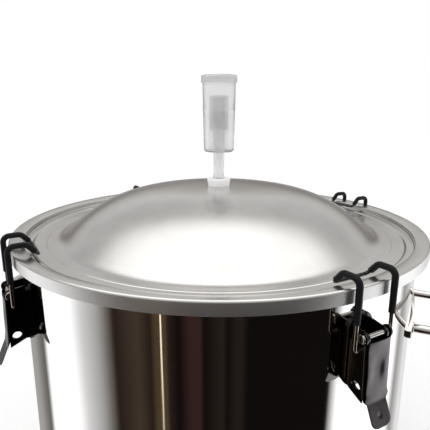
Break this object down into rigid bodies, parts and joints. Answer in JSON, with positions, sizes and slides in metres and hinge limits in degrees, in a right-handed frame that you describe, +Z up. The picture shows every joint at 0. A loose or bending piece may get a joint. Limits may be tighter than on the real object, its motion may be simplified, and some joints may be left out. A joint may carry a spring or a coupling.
{
  "type": "brew kettle",
  "caption": "Straight stainless brew kettle with a domed lid held by wire-bail toggle latches, a stopper with a three-piece airlock, side handles and a low ball valve.",
  "frame": {"origin": "centre of the underside of the base disc, on the surface that the kettle stands on", "axes": "+Z up along the drum's axis; -Y is the front, where the valve points; the side handles lie on the X axis"},
  "size_m": [0.4996, 0.47, 0.5556],
  "materials": {
    "drum_steel": "mirror-like with a fine vertical grain",
    "base_steel": "satin",
    "lid_steel": "satin, pressed, with a fine grain",
    "white_silicone": "matt",
    "white_rubber": "smooth, slightly see-through",
    "clear_plastic": "clear, glossy",
    "fitting_steel": "turned",
    "valve_steel": "cast and machined, satin",
    "seat_plastic": "smooth",
    "polished_steel": "polished",
    "handle_steel": "stamped, satin",
    "red_vinyl": "dipped vinyl",
    "latch_steel": "bright stamped stainless, darkened by what it reflects",
    "pin_steel": "riveted",
    "wire_steel": "bright drawn wire",
    "black_rubber": "satin"
  },
  "bodies": {
    "kettle": {"kettle_body": "drum_steel", "base_disc": "base_steel", "lid": "lid_steel", "lid_gasket": "white_silicone", "bracket_front_right": "latch_steel", "bracket_front_left": "latch_steel", "bracket_back_left": "latch_steel", "bracket_back_right": "latch_steel", "pin_front_right": "pin_steel", "pin_front_left": "pin_steel", "pin_back_left": "pin_steel", "pin_back_right": "pin_steel", "handle_right": "polished_steel", "handle_left": "polished_steel", "handle_pad_right": "polished_steel", "handle_pad_left": "polished_steel", "bulkhead": "fitting_steel", "bulkhead_nut": "fitting_steel", "inner_seal": "white_silicone", "outer_seal": "white_silicone", "valve_body": "valve_steel", "valve_end": "valve_steel", "seat_inner": "seat_plastic", "seat_outer": "seat_plastic", "packing_nut": "fitting_steel"},
    "stopper": {"stopper": "white_rubber"},
    "airlock": {"airlock_body": "clear_plastic"},
    "bubbler": {"airlock_bubbler": "clear_plastic"},
    "cap": {"airlock_cap": "clear_plastic"},
    "lever_front_right": {"lever_front_right": "latch_steel"},
    "bail_front_right": {"bail_front_right": "wire_steel", "sleeve_a_front_right": "black_rubber", "sleeve_b_front_right": "black_rubber"},
    "lever_front_left": {"lever_front_left": "latch_steel"},
    "bail_front_left": {"bail_front_left": "wire_steel", "sleeve_a_front_left": "black_rubber", "sleeve_b_front_left": "black_rubber"},
    "lever_back_left": {"lever_back_left": "latch_steel"},
    "bail_back_left": {"bail_back_left": "wire_steel", "sleeve_a_back_left": "black_rubber", "sleeve_b_back_left": "black_rubber"},
    "lever_back_right": {"lever_back_right": "latch_steel"},
    "bail_back_right": {"bail_back_right": "wire_steel", "sleeve_a_back_right": "black_rubber", "sleeve_b_back_right": "black_rubber"},
    "valve_turn": {"valve_ball": "polished_steel", "valve_stem": "fitting_steel", "valve_handle": "handle_steel", "valve_grip": "red_vinyl", "handle_nut": "fitting_steel"}
  },
  "joints": [
    {"name": "stopper_lift", "type": "slide", "parent": "kettle", "child": "stopper", "axis": [0, 0, 1], "range_m": [0, 0.04]},
    {"name": "airlock_lift", "type": "slide", "parent": "stopper", "child": "airlock", "axis": [0, 0, 1], "range_m": [0, 0.04]},
    {"name": "bubbler_float", "type": "slide", "parent": "airlock", "child": "bubbler", "axis": [0, 0, 1], "range_m": [0, 0.012]},
    {"name": "cap_lift", "type": "slide", "parent": "airlock", "child": "cap", "axis": [0, 0, 1], "range_m": [0, 0.03]},
    {"name": "open_front_right", "type": "hinge", "parent": "kettle", "child": "lever_front_right", "pos_m": [0.15175, -0.15175, 0.3673], "axis": [-0.7071, -0.7071, 0], "range_deg": [0, 130]},
    {"name": "bail_front_right", "type": "hinge", "parent": "lever_front_right", "child": "bail_front_right", "pos_m": [0.15061, -0.15061, 0.3578], "axis": [-0.7071, -0.7071, 0], "range_deg": [-116, 0]},
    {"name": "open_front_left", "type": "hinge", "parent": "kettle", "child": "lever_front_left", "pos_m": [-0.15175, -0.15175, 0.3673], "axis": [-0.7071, 0.7071, 0], "range_deg": [0, 130]},
    {"name": "bail_front_left", "type": "hinge", "parent": "lever_front_left", "child": "bail_front_left", "pos_m": [-0.15061, -0.15061, 0.3578], "axis": [-0.7071, 0.7071, 0], "range_deg": [-116, 0]},
    {"name": "open_back_left", "type": "hinge", "parent": "kettle", "child": "lever_back_left", "pos_m": [-0.15175, 0.15175, 0.3673], "axis": [0.7071, 0.7071, 0], "range_deg": [0, 130]},
    {"name": "bail_back_left", "type": "hinge", "parent": "lever_back_left", "child": "bail_back_left", "pos_m": [-0.15061, 0.15061, 0.3578], "axis": [0.7071, 0.7071, 0], "range_deg": [-116, 0]},
    {"name": "open_back_right", "type": "hinge", "parent": "kettle", "child": "lever_back_right", "pos_m": [0.15175, 0.15175, 0.3673], "axis": [0.7071, -0.7071, 0], "range_deg": [0, 130]},
    {"name": "bail_back_right", "type": "hinge", "parent": "lever_back_right", "child": "bail_back_right", "pos_m": [0.15061, 0.15061, 0.3578], "axis": [0.7071, -0.7071, 0], "range_deg": [-116, 0]},
    {"name": "valve_open", "type": "hinge", "parent": "kettle", "child": "valve_turn", "pos_m": [0, -0.231, 0.045], "axis": [0, 0, 1], "range_deg": [-90, 0]}
  ],
  "couplings": [
    {"joint": "bail_front_right", "follows": "open_front_right", "ratio": -0.89},
    {"joint": "bail_front_left", "follows": "open_front_left", "ratio": -0.89},
    {"joint": "bail_back_left", "follows": "open_back_left", "ratio": -0.89},
    {"joint": "bail_back_right", "follows": "open_back_right", "ratio": -0.89}
  ]
}
